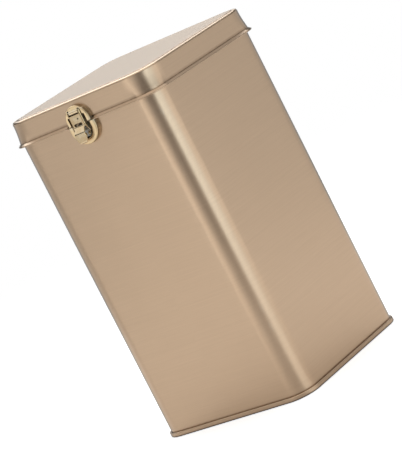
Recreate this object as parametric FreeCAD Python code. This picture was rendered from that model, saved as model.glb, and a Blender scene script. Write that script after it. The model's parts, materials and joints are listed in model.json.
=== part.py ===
import FreeCAD, Part
import math
import os

# Tall square cookie tin with a slip-over hinged lid and a sprung hasp clasp, lid closed.
# Origin at the centre of the base, +Z up, clasp on the -Y side, hinge on the +Y side.
# Lengths in millimetres. Names ending in _z are heights above the base.

Vector = FreeCAD.Vector

# ---- body wall ----
body_width = 115.0          # outside of the square wall
body_corner_r = 13.0        # outside corner radius of the wall
body_sheet = 0.28
body_hook_r = 0.46          # centreline radius of the hook at the wall's foot
body_hook_bend_z = 0.92
body_hook_tip_z = 1.9
neck_inset = 0.6            # the mouth is drawn in by this much
neck_start_z = 200.5
neck_bend_r = 1.2
mouth_top_z = 215.05
mouth_curl_r = 0.75
mouth_curl_turn = 300
lock_seam_half_w = 2.6
lock_groove_w = 0.2
lock_groove_depth = 0.1
lock_low_z, lock_high_z = 4.4, 199.8

half = body_width / 2.0
corner_axis = half - body_corner_r      # distance of the corner axes from the middle

# ---- bottom end and its seam ----
panel_start = -10.0         # ring sections of the end and the lid start here, inside the wall
end_sheet = 0.25
end_outer_z = 3.6           # panel's outer band
end_step = 0.6              # the centre lies this much below the outer band
end_step_r = 0.6
end_centre_run = 3.2
end_chuck_gap = 0.04        # between the wall and the end's upright
end_chuck_top_r = 0.8
end_chuck_foot_r = 0.45
seam_outer = 1.275          # centreline of the seam's outer wall beyond the body wall
seam_foot_r = 0.7
seam_top_r = 0.5
seam_bend_z = 2.3           # centre of the seam's top bend
seam_tip_z = 1.25

# ---- lid ----
lid_sheet = 0.25
lid_ring_z = 215.4          # top of the flat ring round the lid's edge
lid_outset = 1.0            # skirt's outer face beyond the wall's outer face
lid_edge_r = 1.3            # centreline radius of the lid's top edge
lid_panel_rise = 0.35       # centre panel stands above the edge ring
lid_rise_r = 0.5
lid_ring_width = 3.0
lid_rise_margin = 0.4       # extra width between the rise and the ring
flare_start_z = 202.3       # skirt turns outward into the flared hem here
flare_bend_r = 0.7
flare_angle = 55.0
flare_len = 2.05
hem_r = 0.28
hem_return = 1.15
hinge_notch_half = 21.5
clasp_notch_half = 10.9
notch_low_z = 198.5

skirt_y = -(half + lid_outset)          # skirt's outer face, clasp side
wall_y = -half

# ---- butt hinge ----
pin_clear = 0.05            # radial clearance round the hinge pin and the hasp pin
hinge_y = 60.4
hinge_z = 200.7
hinge_sheet = 0.5
hinge_pin_r = 0.8
hinge_pin_overhang = 0.4
hinge_pin_end_r = 0.35
hinge_half_w = 20.0
knuckle_count = 5
knuckle_gap = 0.1           # taken off each side of a knuckle
leaf_corner_r = 2.5
body_leaf_low_z = 187.5
body_leaf_crank_r = 1.0
body_leaf_wrap = 285
slot_above_crank = 0.6
body_slot_top_z = 203.5
lid_leaf_high_z = 212.3
lid_leaf_jog_r = 0.8
lid_leaf_jog_foot_z = 202.7
lid_leaf_wrap = 300
lid_slot_low_z, lid_slot_top_z = 197.5, 203.0
hinge_rivet_x = 12.0
hinge_body_rivet_z = 192.0
hinge_lid_rivet_z = 208.1
hinge_rivet = dict(shank_r=1.2, head_r=2.2, head_h=0.9, tail_r=2.0, tail_h=0.4)

knuckle_w = 2 * hinge_half_w / knuckle_count
knuckle_edges = [-hinge_half_w + knuckle_w * i for i in range(knuckle_count + 1)]
hinge_curl_r = hinge_pin_r + pin_clear + hinge_sheet / 2    # centreline of a knuckle

# ---- clasp plates and catch hook; depths are measured outward from the seat ----
clasp_sheet = 0.5
lid_plate_half_w = 9.0
lid_plate_arc_z = 203.1
lid_plate_bottom_z = 200.8
lid_plate_depth = 2.8
lid_plate_bend_r = 0.5
lid_plate_lip_r = 4.5       # the rim's flat reaches in to this radius
pocket_low_half_w, pocket_high_half_w = 6.7, 5.4
pocket_low_r, pocket_high_r = 0.5, 1.4
pocket_step_z, pocket_top_z = 205.9, 210.1
tongue_half_w = 3.6
tongue_root_z = pocket_top_z + 0.3
tongue_crank_r = 0.6
tongue_wrap = 260
catch_plate_half_w = 10.4
catch_plate_arc_z = 197.45
catch_plate_top_z = 200.1
catch_plate_depth = 3.0
catch_rim_r = 0.75
catch_seat_half_w = 7.2
catch_seat_bend_r = 0.45
catch_core_r = 2.0
hook_low_z, hook_bend_z, hook_high_z = 191.5, 194.9, 199.8
hook_half_w = 3.1
hook_reach = 3.3            # how far the nose stands out from the foot
hook_bend_r = 1.0
hook_slope = 50.0
hook_corner_r = 1.2
lid_rivet_x, lid_rivet_z = 2.6, 203.6
catch_rivet_x, catch_rivet_z = 1.7, 193.1
lid_rivet = dict(shank_r=0.8, head_r=1.35, head_h=0.5, tail_r=1.3, tail_h=0.35)
catch_rivet = dict(shank_r=0.8, head_r=1.3, head_h=0.5, tail_r=1.4, tail_h=0.35)

# ---- hasp and its pin; depths are measured outward from the skirt's outer face ----
hasp_pin_depth = 2.4
hasp_pin_z = 208.3
hasp_pin_r = 0.7
pin_head_r, pin_head_h = 0.9, 0.25
pin_head_fillet = 0.18
hasp_half_w = 4.9
hasp_web_depth = 4.0        # outer face of the web
hasp_rear_depth = 0.7
hasp_web_top_z = 206.7
hasp_neck_z = hasp_web_top_z - 0.6
hasp_web_bottom_z = 199.3
hasp_outer_r, hasp_inner_r = 0.9, 0.4
lobe_r = 1.3
lobe_flat_depth = 1.72
lobe_flat_above_pin = 0.8
ear_margin = 0.4            # web left inside each ear above the web's top
window_half_w = 3.2
window_low_z, window_high_z = 199.7, 201.5
window_corner_r = 0.85
hasp_hole_x, hasp_hole_z, hasp_hole_r = 1.6, 204.1, 0.55
tab_reach = 2.9             # how far the finger tab stands out beyond the web
tab_half_w = 4.1
tab_slope = 40.0
tab_upper_r, tab_lower_r = 1.0, 1.5
tab_lead = 0.2
tab_lip_z = 191.1
tab_lip_r, tab_lip_turn = 1.9, -75
tab_round_z, tab_low_z = 193.2, 188.7


def polar(centre, radius, angle):
    return (centre[0] + radius * math.cos(angle), centre[1] + radius * math.sin(angle))


def joggle_angle(radius, shift):
    """Degrees turned by each of two equal opposite arcs that move a line aside by shift."""
    return math.degrees(math.acos(1 - shift / (2 * radius)))


def joggle_length(radius, shift):
    return 2 * radius * math.sin(math.radians(joggle_angle(radius, shift)))


def segments(points):
    """Straight edges joining the points in turn."""
    return [Part.LineSegment(a, b).toShape() for a, b in zip(points, points[1:])]


def face_of(edges):
    return Part.Face(Part.Wire(Part.__sortEdges__(edges)))


class Strip:
    """Sheet-metal section: a centreline of tangent lines and arcs with a constant thickness.

    It is drawn in a plane (out, up); headings and turns are in degrees, positive to the left.
    """

    def __init__(self, out, up, heading, sheet):
        self.start = (out, up)
        self.out, self.up = out, up
        self.heading = math.radians(heading)
        self.sheet = sheet
        self.pieces = []

    def line(self, length):
        start = (self.out, self.up)
        self.out, self.up = polar(start, length, self.heading)
        self.pieces.append(("line", start, (self.out, self.up), self.heading))

    def arc(self, radius, turn):
        sign = 1.0 if turn > 0 else -1.0
        centre = (self.out - sign * radius * math.sin(self.heading),
                  self.up + sign * radius * math.cos(self.heading))
        first = math.atan2(self.up - centre[1], self.out - centre[0])
        last = first + math.radians(turn)
        self.pieces.append(("arc", centre, radius, first, last, sign))
        self.out, self.up = polar(centre, radius, last)
        self.heading += math.radians(turn)

    def joggle(self, radius, shift):
        """Move aside by shift, positive to the left, with two arcs."""
        angle = math.copysign(joggle_angle(radius, abs(shift)), shift)
        self.arc(radius, angle)
        self.arc(radius, -angle)

    def slope(self, first_r, second_r, turn, shift):
        """Move aside by shift with an arc, a straight slope and an arc back."""
        angle = math.radians(abs(turn))
        self.arc(first_r, turn)
        self.line((shift - (first_r + second_r) * (1 - math.cos(angle))) / math.sin(angle))
        self.arc(second_r, -turn)

    def side(self, offset):
        """(start, end, middle) of each piece moved to the left by offset; a line has no middle."""
        result = []
        for piece in self.pieces:
            if piece[0] == "line":
                _, start, end, heading = piece
                normal = heading + math.pi / 2
                result.append((polar(start, offset, normal), polar(end, offset, normal), None))
            else:
                _, centre, radius, first, last, sign = piece
                start, middle, end = [polar(centre, radius - sign * offset, angle)
                                      for angle in (first, (first + last) / 2.0, last)]
                result.append((start, end, middle))
        return result

    def face(self, place):
        """Face of the section; place turns (out, up) into a point in space."""
        left = self.side(self.sheet / 2.0)
        right = self.side(-self.sheet / 2.0)
        edges = []

        def add(start, end, middle=None):
            start_point, end_point = place(*start), place(*end)
            if (start_point - end_point).Length < 1e-9:
                return
            if middle is None:
                edges.append(Part.LineSegment(start_point, end_point).toShape())
            else:
                edges.append(Part.Arc(start_point, place(*middle), end_point).toShape())

        for start, end, middle in left:
            add(start, end, middle)
        add(left[-1][1], right[-1][1])
        for start, end, middle in reversed(right):
            add(end, start, middle)
        add(right[0][0], left[0][0])
        return face_of(edges)


def rounded_square(half_w, radius, z_low, z_high):
    """Square plate with rounded corners."""
    plate = box(-half_w, half_w, -half_w, half_w, z_low, z_high)
    upright = [e for e in plate.Edges
               if abs(e.Vertexes[0].Point.z - e.Vertexes[-1].Point.z) > 1e-6]
    return plate.makeFillet(radius, upright)


def ring(strip, filled=False):
    """Carry a section round the rounded square; out is measured from the wall's outer face.
    filled adds a flat panel inside the section's start."""
    corner_face = strip.face(lambda out, up: Vector(body_corner_r + out, 0, up))
    side_face = strip.face(lambda out, up: Vector(half + out, -corner_axis, up))
    corner = corner_face.revolve(Vector(0, 0, 0), Vector(0, 0, 1), 90)
    corner.translate(Vector(corner_axis, corner_axis, 0))
    side = side_face.extrude(Vector(0, 2 * corner_axis, 0))
    pieces = []
    for k in range(4):
        for shape in (corner, side):
            turned = shape.copy()
            turned.rotate(Vector(0, 0, 0), Vector(0, 0, 1), 90 * k)
            pieces.append(turned)
    if filled:
        out, up = strip.start
        pieces.append(rounded_square(half + out, body_corner_r + out,
                                     up - strip.sheet / 2, up + strip.sheet / 2))
    return pieces[0].multiFuse(pieces[1:]).removeSplitter()


def extrude_x(strip, half_w, seat_y=0.0, direction=1):
    """Carry a section along x; out runs from seat_y along y, in the given direction."""
    face = strip.face(lambda out, up: Vector(-half_w, seat_y + direction * out, up))
    return face.extrude(Vector(2 * half_w, 0, 0))


def crank_and_curl(strip, axis, crank_r, curl_r, wrap, direction):
    """Run a strip up (direction 1) or down (-1), crank it 45 degrees outward and curl it
    round the axis. Returns the height where the slope meets the flat's plane."""
    reach = curl_r * math.cos(math.radians(45))
    tangent_out = axis[0] + reach
    tangent_up = axis[1] - direction * reach
    crank_up = tangent_up - direction * (tangent_out - strip.out)
    lead = crank_r * math.tan(math.radians(22.5))
    strip.line(direction * (crank_up - strip.up) - lead)
    strip.arc(crank_r, -45 * direction)
    strip.line(math.hypot(tangent_out - strip.out, tangent_up - strip.up))
    strip.arc(curl_r, wrap * direction)
    return crank_up


def one(shape):
    """The single solid of a boolean result."""
    solids = shape.Solids
    assert len(solids) == 1, "expected one solid, got %d" % len(solids)
    assert solids[0].isValid(), "solid is not valid"
    return solids[0]


def box(x_low, x_high, y_low, y_high, z_low, z_high):
    return Part.makeBox(x_high - x_low, y_high - y_low, z_high - z_low,
                        Vector(x_low, y_low, z_low))


def cyl_y(x, z, radius, y_low, y_high):
    return Part.makeCylinder(radius, y_high - y_low, Vector(x, y_low, z), Vector(0, 1, 0))


def cyl_x(y, z, radius, x_low, x_high):
    return Part.makeCylinder(radius, x_high - x_low, Vector(x_low, y, z), Vector(1, 0, 0))


def prism_x(points, half_w):
    """Polygon in (y, z) carried along x."""
    corners = [Vector(-half_w, y, z) for y, z in points]
    return Part.Face(Part.makePolygon(corners + corners[:1])).extrude(Vector(2 * half_w, 0, 0))


def rivet_holes(shape, x, z, radius, y_low, y_high):
    """Cut a pair of holes at x and -x."""
    for side in (-1, 1):
        shape = shape.cut(cyl_y(side * x, z, radius, y_low, y_high))
    return shape


def rivet(x, z, y_face, direction, grip, shank_r, head_r, head_h, tail_r, tail_h):
    """Dome-headed rivet along y. y_face is the face under the dome, direction points outward,
    grip is the sheet thickness it holds."""
    dome_r = (head_r ** 2 + head_h ** 2) / (2 * head_h)
    mid_r = head_r * 0.55       # a point part way down the dome
    crown = Vector(0, 0, head_h)
    mid = Vector(mid_r, 0, math.sqrt(dome_r ** 2 - mid_r ** 2) - (dome_r - head_h))
    rim = Vector(head_r, 0, 0)
    points = [rim, Vector(shank_r, 0, 0), Vector(shank_r, 0, -grip), Vector(tail_r, 0, -grip),
              Vector(tail_r, 0, -grip - tail_h), Vector(0, 0, -grip - tail_h), crown]
    face = face_of([Part.Arc(crown, mid, rim).toShape()] + segments(points))
    shape = face.revolve(Vector(0, 0, 0), Vector(0, 0, 1), 360)
    shape.rotate(Vector(0, 0, 0), Vector(1, 0, 0), -90 * direction)
    shape.translate(Vector(x, y_face, z))
    return shape.Solids[0]


def rivet_pair(x, z, y_face, direction, grip, sizes):
    return Part.makeCompound([rivet(side * x, z, y_face, direction, grip, **sizes)
                              for side in (-1, 1)])


# ---------------------------------------------------------------- tin
def body_wall():
    strip = Strip(2 * body_hook_r - body_sheet / 2, body_hook_tip_z, -90, body_sheet)
    strip.line(body_hook_tip_z - body_hook_bend_z)
    strip.arc(body_hook_r, -180)
    strip.line(neck_start_z - body_hook_bend_z)
    strip.joggle(neck_bend_r, neck_inset)
    strip.line(mouth_top_z - body_sheet / 2 - mouth_curl_r - strip.up)
    strip.arc(mouth_curl_r, mouth_curl_turn)
    wall = ring(strip)
    # lock seam on the hinge side: folded layers inside, a fine groove outside
    wall = wall.fuse(box(-lock_seam_half_w, lock_seam_half_w, half - 3 * body_sheet,
                         half - 0.5 * body_sheet, lock_low_z, lock_high_z)).removeSplitter()
    wall = wall.cut(box(lock_seam_half_w, lock_seam_half_w + lock_groove_w,
                        half - lock_groove_depth, half + 1, lock_low_z, lock_high_z))
    for side in (-1, 1):
        wall = wall.cut(cyl_y(side * hinge_rivet_x, hinge_body_rivet_z,
                              hinge_rivet["shank_r"], half - 2, half + 1))
        wall = wall.cut(cyl_y(side * catch_rivet_x, catch_rivet_z,
                              catch_rivet["shank_r"], wall_y - 1, wall_y + 2))
    return one(wall)


def bottom_end():
    """Stepped panel, an upright inside the wall, and the seam wrapped round the wall's hook."""
    strip = Strip(panel_start, end_outer_z - end_step, 0, end_sheet)
    strip.line(end_centre_run)
    strip.joggle(end_step_r, end_step)
    upright_out = -(body_sheet + end_chuck_gap + end_sheet / 2)
    strip.line(upright_out - end_chuck_top_r - strip.out)
    strip.arc(end_chuck_top_r, -90)
    strip.line(strip.up - (end_sheet / 2 + end_chuck_foot_r))
    strip.arc(end_chuck_foot_r, 90)
    strip.line(seam_outer - seam_foot_r - strip.out)
    strip.arc(seam_foot_r, 90)
    strip.line(seam_bend_z - strip.up)
    strip.arc(seam_top_r, 180)
    strip.line(seam_bend_z - seam_tip_z)
    return one(ring(strip, filled=True))


def lid_shell():
    strip = Strip(panel_start, lid_ring_z - lid_sheet / 2 + lid_panel_rise, 0, lid_sheet)
    strip.line(lid_outset - panel_start - lid_ring_width
               - joggle_length(lid_rise_r, lid_panel_rise) - lid_rise_margin)
    strip.joggle(lid_rise_r, -lid_panel_rise)
    strip.line(lid_outset - lid_sheet / 2 - lid_edge_r - strip.out)
    strip.arc(lid_edge_r, -90)
    strip.line(strip.up - flare_start_z)
    strip.arc(flare_bend_r, flare_angle)
    strip.line(flare_len)
    strip.arc(hem_r, -(90 + flare_angle))
    strip.line(hem_return)
    lid = ring(strip, filled=True)
    # the flared hem is cut away at the hinge barrel and at the clasp
    lid = lid.cut(box(-hinge_notch_half, hinge_notch_half, half, half + 6,
                      notch_low_z, flare_start_z))
    lid = lid.cut(box(-clasp_notch_half, clasp_notch_half, -half - 6, -half,
                      notch_low_z, flare_start_z))
    for side in (-1, 1):
        lid = lid.cut(cyl_y(side * hinge_rivet_x, hinge_lid_rivet_z,
                            hinge_rivet["shank_r"], half, half + 3))
        lid = lid.cut(cyl_y(side * lid_rivet_x, lid_rivet_z,
                            lid_rivet["shank_r"], -half - 3, -half))
    return one(lid)


# ---------------------------------------------------------------- hinge
def hinge_body_leaf():
    """Flat on the wall, cranked out under the barrel, curled over it from the outside."""
    strip = Strip(half + hinge_sheet / 2, body_leaf_low_z, 90, hinge_sheet)
    crank_z = crank_and_curl(strip, (hinge_y, hinge_z), body_leaf_crank_r, hinge_curl_r,
                             body_leaf_wrap, 1)
    leaf = extrude_x(strip, hinge_half_w)
    corners = [e for e in leaf.Edges if abs(e.BoundBox.ZMax - body_leaf_low_z) < 1e-6
               and e.BoundBox.YLength > 0.3 and e.BoundBox.XLength < 1e-6]
    leaf = leaf.makeFillet(leaf_corner_r, corners)

    def slot(x_low, x_high):
        return box(x_low, x_high, half - 1, half + 8, crank_z + slot_above_crank,
                   body_slot_top_z)

    for k in (1, 3):
        leaf = leaf.cut(slot(knuckle_edges[k] - knuckle_gap, knuckle_edges[k + 1] + knuckle_gap))
    for side in (-1, 1):
        end_x = side * (hinge_half_w - knuckle_gap)
        leaf = leaf.cut(slot(*sorted((end_x, end_x + side))))
        leaf = leaf.cut(cyl_y(side * hinge_rivet_x, hinge_body_rivet_z,
                              hinge_rivet["shank_r"], half - 2, half + 2))
    return one(leaf)


def hinge_lid_leaf():
    """Flat on the skirt, joggled out to the barrel's inner side and curled under it."""
    plate_y = half + lid_outset + hinge_sheet / 2
    jog = hinge_y - hinge_curl_r - plate_y
    strip = Strip(plate_y, lid_leaf_high_z, -90, hinge_sheet)
    strip.line(lid_leaf_high_z - (lid_leaf_jog_foot_z + joggle_length(lid_leaf_jog_r, jog)))
    strip.joggle(lid_leaf_jog_r, jog)
    strip.line(strip.up - hinge_z)
    strip.arc(hinge_curl_r, lid_leaf_wrap)
    leaf = extrude_x(strip, hinge_half_w)
    corners = [e for e in leaf.Edges if abs(e.BoundBox.ZMin - lid_leaf_high_z) < 1e-6
               and e.BoundBox.YLength > 0.3 and e.BoundBox.XLength < 1e-6]
    leaf = leaf.makeFillet(leaf_corner_r, corners)
    for k in (0, 2, 4):
        # the outermost slots run out past the leaf's ends
        x_low = knuckle_edges[k] - (1 if k == 0 else knuckle_gap)
        x_high = knuckle_edges[k + 1] + (1 if k == 4 else knuckle_gap)
        leaf = leaf.cut(box(x_low, x_high, half - 1, half + 8, lid_slot_low_z, lid_slot_top_z))
    return one(rivet_holes(leaf, hinge_rivet_x, hinge_lid_rivet_z, hinge_rivet["shank_r"],
                           half, half + 3))


def hinge_pin():
    """Plain pin with rounded ends."""
    end_x = hinge_half_w + hinge_pin_overhang
    pin = cyl_x(hinge_y, hinge_z, hinge_pin_r, -end_x, end_x)
    return one(pin.makeFillet(hinge_pin_end_r, [e for e in pin.Edges
                                                if e.Curve.TypeId == "Part::GeomCircle"]))


# ---------------------------------------------------------------- clasp plates
def arch_sweep(strip, arc_z, flat_z, round_up, seat_y):
    """Carry a section round a half-round end and down both straight sides.
    out is the distance from the arch's axis, up the depth outward from the seat."""
    def right_face():
        return strip.face(lambda out, up: Vector(out, seat_y - up, arc_z))

    turned = right_face().revolve(Vector(0, seat_y, arc_z), Vector(0, 1, 0),
                                  -180 if round_up else 180)
    run = Vector(0, 0, flat_z - arc_z)
    right = right_face().extrude(run)
    left = strip.face(lambda out, up: Vector(-out, seat_y - up, arc_z)).extrude(run)
    return turned.fuse([right, left]).removeSplitter()


def pocket(grow, y_low, y_high, drop):
    """Two-width block of the lid plate's pocket, grown all round and extended down by drop."""
    blocks = []
    for half_w, top_z, radius in ((pocket_low_half_w, pocket_step_z, pocket_low_r),
                                  (pocket_high_half_w, pocket_top_z, pocket_high_r)):
        block = box(-half_w - grow, half_w + grow, y_low, y_high,
                    lid_plate_bottom_z - drop, top_z + grow)
        top_corners = [e for e in block.Edges
                       if e.BoundBox.YLength > 0.1 and e.BoundBox.ZMin > 205]
        blocks.append(block.makeFillet(radius + grow, top_corners))
    return blocks[0].fuse(blocks[1])


def clasp_lid_plate():
    """Raised rounded rim, recessed seat on the skirt, tongue curled round the hasp pin."""
    strip = Strip(lid_plate_half_w - clasp_sheet / 2, 0, 90, clasp_sheet)
    strip.line(lid_plate_depth - clasp_sheet / 2 - lid_plate_bend_r)
    strip.arc(lid_plate_bend_r, 90)
    strip.line(strip.out - lid_plate_lip_r)
    shell = arch_sweep(strip, lid_plate_arc_z, lid_plate_bottom_z, True, skirt_y)
    block = pocket(clasp_sheet, skirt_y - lid_plate_depth, skirt_y, 0.0)
    hollow = pocket(0.0, skirt_y - lid_plate_depth - 2, skirt_y - clasp_sheet, 1.0)
    plate = shell.fuse(block).cut(hollow)
    strip = Strip(lid_plate_depth - clasp_sheet / 2, tongue_root_z, -90, clasp_sheet)
    crank_and_curl(strip, (hasp_pin_depth, hasp_pin_z), tongue_crank_r,
                   hasp_pin_r + pin_clear + clasp_sheet / 2, tongue_wrap, -1)
    plate = plate.fuse(extrude_x(strip, tongue_half_w, skirt_y, -1)).removeSplitter()
    return one(rivet_holes(plate, lid_rivet_x, lid_rivet_z, lid_rivet["shank_r"],
                           skirt_y - 1.1, skirt_y + 1))


def clasp_catch_plate():
    """The same kind of rim, round end down, with a flat seat on the wall."""
    strip = Strip(catch_plate_half_w - clasp_sheet / 2, 0, 90, clasp_sheet)
    strip.line(catch_plate_depth - clasp_sheet / 2 - catch_rim_r)
    strip.arc(catch_rim_r, 90)
    strip.line(strip.out - (catch_seat_half_w - clasp_sheet / 2) - catch_seat_bend_r)
    strip.arc(catch_seat_bend_r, 90)
    strip.line(strip.up - clasp_sheet / 2 - catch_seat_bend_r)
    strip.arc(catch_seat_bend_r, -90)
    strip.line(strip.out - catch_core_r)
    catch = arch_sweep(strip, catch_plate_arc_z, catch_plate_top_z, False, wall_y)
    # the core fills the middle of the seat, inside the swept section
    left = Vector(-catch_core_r, wall_y, catch_plate_arc_z)
    low = Vector(0, wall_y, catch_plate_arc_z - catch_core_r)
    right = Vector(catch_core_r, wall_y, catch_plate_arc_z)
    top_right = Vector(catch_core_r, wall_y, catch_plate_top_z)
    top_left = Vector(-catch_core_r, wall_y, catch_plate_top_z)
    outline = [Part.Arc(left, low, right).toShape()]
    outline += segments([right, top_right, top_left, left])
    core = Part.Face(Part.Wire(outline)).extrude(Vector(0, -clasp_sheet, 0))
    catch = catch.fuse(core).removeSplitter()
    catch = rivet_holes(catch, catch_rivet_x, catch_rivet_z, catch_rivet["shank_r"],
                        wall_y - 1.5, wall_y + 1)
    return one(catch.removeSplitter())


def clasp_catch_hook():
    """Sprung strip riveted on the catch plate's seat; its nose rises behind the hasp's web."""
    strip = Strip(1.5 * clasp_sheet, hook_low_z, 90, clasp_sheet)
    strip.line(hook_bend_z - hook_low_z)
    strip.slope(hook_bend_r, hook_bend_r, -hook_slope, hook_reach)
    strip.line(hook_high_z - strip.up)
    hook = extrude_x(strip, hook_half_w, wall_y, -1)
    ends = [e for e in hook.Edges if e.BoundBox.XLength < 1e-6
            and (abs(e.BoundBox.ZMax - hook_low_z) < 1e-4
                 or abs(e.BoundBox.ZMin - hook_high_z) < 1e-4)]
    hook = hook.makeFillet(hook_corner_r, ends)
    return one(rivet_holes(hook, catch_rivet_x, catch_rivet_z, catch_rivet["shank_r"],
                           wall_y - 1.5, wall_y + 1))


# ---------------------------------------------------------------- hasp and its pin
def depth_y(depth):
    """y at a depth outward from the skirt's outer face, clasp side."""
    return skirt_y - depth


def hasp_channel():
    """U-section open toward the tin, trimmed to its side profile."""
    def rounded_block(half_w, web_depth, rear_y, z_low, z_high, radius):
        block = box(-half_w, half_w, depth_y(web_depth), rear_y, z_low, z_high)
        return block.makeFillet(radius, [
            e for e in block.Edges if e.BoundBox.ZLength > 1
            and abs(e.BoundBox.YMin - depth_y(web_depth)) < 1e-6])

    rear_y, web_y = depth_y(hasp_rear_depth), depth_y(hasp_web_depth)
    outer = rounded_block(hasp_half_w, hasp_web_depth, rear_y, 194.5, 211, hasp_outer_r)
    inner = rounded_block(hasp_half_w - clasp_sheet, hasp_web_depth - clasp_sheet,
                          rear_y + 1, 194, 212, hasp_inner_r)
    channel = outer.cut(inner)
    trim_half_w = hasp_half_w + 1
    # profiles as (y, z) corners
    side = prism_x([(rear_y, hasp_neck_z), (web_y, hasp_neck_z), (web_y, hasp_web_bottom_z),
                    (depth_y(1.35), 195.0), (depth_y(1.05), 194.9), (rear_y, 195.7)],
                   trim_half_w)
    neck = prism_x([(rear_y, hasp_neck_z), (depth_y(hasp_pin_depth - lobe_r), hasp_pin_z),
                    (depth_y(hasp_pin_depth + lobe_r), hasp_pin_z),
                    (web_y, hasp_web_top_z), (web_y, hasp_neck_z)], trim_half_w)
    lobe = cyl_x(depth_y(hasp_pin_depth), hasp_pin_z, lobe_r, -trim_half_w, trim_half_w)
    channel = channel.common(side.multiFuse([neck, lobe]))
    gap_half_w = hasp_half_w - clasp_sheet - ear_margin
    return channel.cut(box(-gap_half_w, gap_half_w, depth_y(8), depth_y(0),
                           hasp_web_top_z, 212))


def finger_tab():
    strip = Strip(hasp_web_depth - clasp_sheet / 2, hasp_web_bottom_z + 0.5, -90, clasp_sheet)
    strip.line(tab_lead)
    strip.slope(tab_upper_r, tab_lower_r, tab_slope, tab_reach)
    strip.line(strip.up - tab_lip_z)
    strip.arc(tab_lip_r, tab_lip_turn)
    tab = extrude_x(strip, hasp_half_w, skirt_y, -1)
    # (x, z) down the left of the front outline, mirrored for the right
    outline = [(-hasp_half_w, 200.7), (-hasp_half_w, hasp_web_bottom_z + 0.1),
               (-3.75, 198.2), (-tab_half_w, 195.1), (-tab_half_w, tab_round_z)]
    left = [Vector(x, skirt_y, z) for x, z in outline]
    right = [Vector(-x, skirt_y, z) for x, z in reversed(outline)]
    low = Vector(0, skirt_y, tab_low_z)
    mid_x = tab_half_w * math.sin(math.radians(45))
    mid_z = tab_round_z - (tab_round_z - tab_low_z) * math.cos(math.radians(45))
    edges = segments(left)
    edges.append(Part.Arc(left[-1], Vector(-mid_x, skirt_y, mid_z), low).toShape())
    edges.append(Part.Arc(low, Vector(mid_x, skirt_y, mid_z), right[0]).toShape())
    edges += segments(right + left[:1])
    return tab.common(face_of(edges).extrude(Vector(0, -9, 0)))


def clasp_hasp():
    hasp = hasp_channel().fuse(finger_tab()).removeSplitter()
    window = box(-window_half_w, window_half_w, depth_y(9), depth_y(3),
                 window_low_z, window_high_z)
    window = window.makeFillet(window_corner_r, [e for e in window.Edges
                                                 if e.BoundBox.YLength > 1])
    hasp = hasp.cut(window)
    hasp = hasp.cut(cyl_y(hasp_hole_x, hasp_hole_z, hasp_hole_r, depth_y(5), depth_y(3)))
    hasp = hasp.cut(cyl_x(depth_y(hasp_pin_depth), hasp_pin_z, hasp_pin_r, -6, 6))
    # small flat behind the lobes' tops, clear of the lid plate's pocket corners
    return one(hasp.cut(box(-6, 6, depth_y(lobe_flat_depth), depth_y(0.2),
                            hasp_pin_z + lobe_flat_above_pin, 212)))


def clasp_pin():
    """Hasp pin with a thin rounded head at each end."""
    pin_y = depth_y(hasp_pin_depth)
    pin = cyl_x(pin_y, hasp_pin_z, hasp_pin_r, -hasp_half_w, hasp_half_w)
    for side in (-1, 1):
        x_low, x_high = sorted((side * hasp_half_w, side * (hasp_half_w + pin_head_h)))
        head = cyl_x(pin_y, hasp_pin_z, pin_head_r, x_low, x_high)
        head = head.makeFillet(pin_head_fillet, [
            e for e in head.Edges if e.Curve.TypeId == "Part::GeomCircle"
            and abs(abs(e.Curve.Center.x) - hasp_half_w - pin_head_h) < 1e-6])
        pin = pin.fuse(head)
    return one(pin.removeSplitter())


parts = {
    "body_wall": body_wall(),
    "bottom_end": bottom_end(),
    "lid_shell": lid_shell(),
    "hinge_body_leaf": hinge_body_leaf(),
    "hinge_lid_leaf": hinge_lid_leaf(),
    "hinge_pin": hinge_pin(),
    "hinge_body_rivets": rivet_pair(hinge_rivet_x, hinge_body_rivet_z, half + hinge_sheet, 1,
                                    hinge_sheet + body_sheet, hinge_rivet),
    "hinge_lid_rivets": rivet_pair(hinge_rivet_x, hinge_lid_rivet_z,
                                   half + lid_outset + hinge_sheet, 1,
                                   hinge_sheet + lid_sheet, hinge_rivet),
    "clasp_lid_plate": clasp_lid_plate(),
    "clasp_lid_rivets": rivet_pair(lid_rivet_x, lid_rivet_z, skirt_y - clasp_sheet, -1,
                                   clasp_sheet + lid_sheet, lid_rivet),
    "clasp_catch_plate": clasp_catch_plate(),
    "clasp_catch_hook": clasp_catch_hook(),
    "clasp_catch_rivets": rivet_pair(catch_rivet_x, catch_rivet_z, wall_y - 2 * clasp_sheet, -1,
                                     2 * clasp_sheet + body_sheet, catch_rivet),
    "clasp_hasp": clasp_hasp(),
    "clasp_pin": clasp_pin(),
}

os.makedirs("parts", exist_ok=True)
for name, shape in parts.items():
    shape.exportStep("parts/%s.step" % name)
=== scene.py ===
"""A tall square tin with a hinged lid and a clasp, standing upright on z = 0.

It is centred on the Z axis, with the clasp on the -Y side and the hinge on the +Y side.
Sheet sizes are in millimetres. A sheet's section is drawn as (out, up): out is measured
outwards from the wall's outer face, up is the height above the floor.
"""

import json
import math
from collections import namedtuple

import bpy
import numpy as np
from mathutils import Matrix, Vector

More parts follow.
